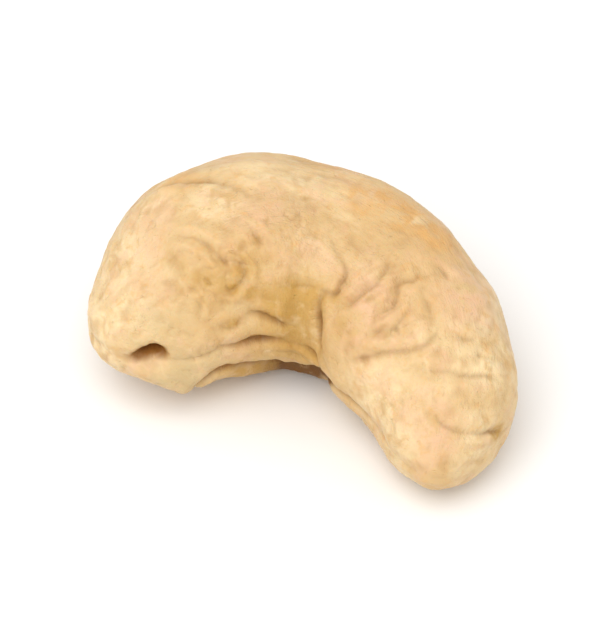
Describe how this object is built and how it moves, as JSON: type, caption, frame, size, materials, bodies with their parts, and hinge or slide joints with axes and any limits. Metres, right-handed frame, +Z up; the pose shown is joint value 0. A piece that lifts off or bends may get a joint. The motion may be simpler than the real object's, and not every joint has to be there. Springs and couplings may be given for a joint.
{
  "type": "cashew nut",
  "caption": "Whole shelled cashew kernel, curved like a kidney, with its seam, the notch of its seed root and the folds of its bend, lying on one flank.",
  "frame": {"origin": "middle of the kernel's box in plan, on the surface it lies on", "axes": "+X along the length, from the thick end with the seed root to the slim tip; +Y to the back of the bend; +Z up, through the thickness"},
  "size_m": [0.0256, 0.0178, 0.0115],
  "materials": {
    "kernel": "waxy cream seed flesh with a soft satin sheen, peach and ochre patches, and darker creases"
  },
  "bodies": {
    "root": {"cashew_kernel": "kernel"}
  },
  "joints": []
}
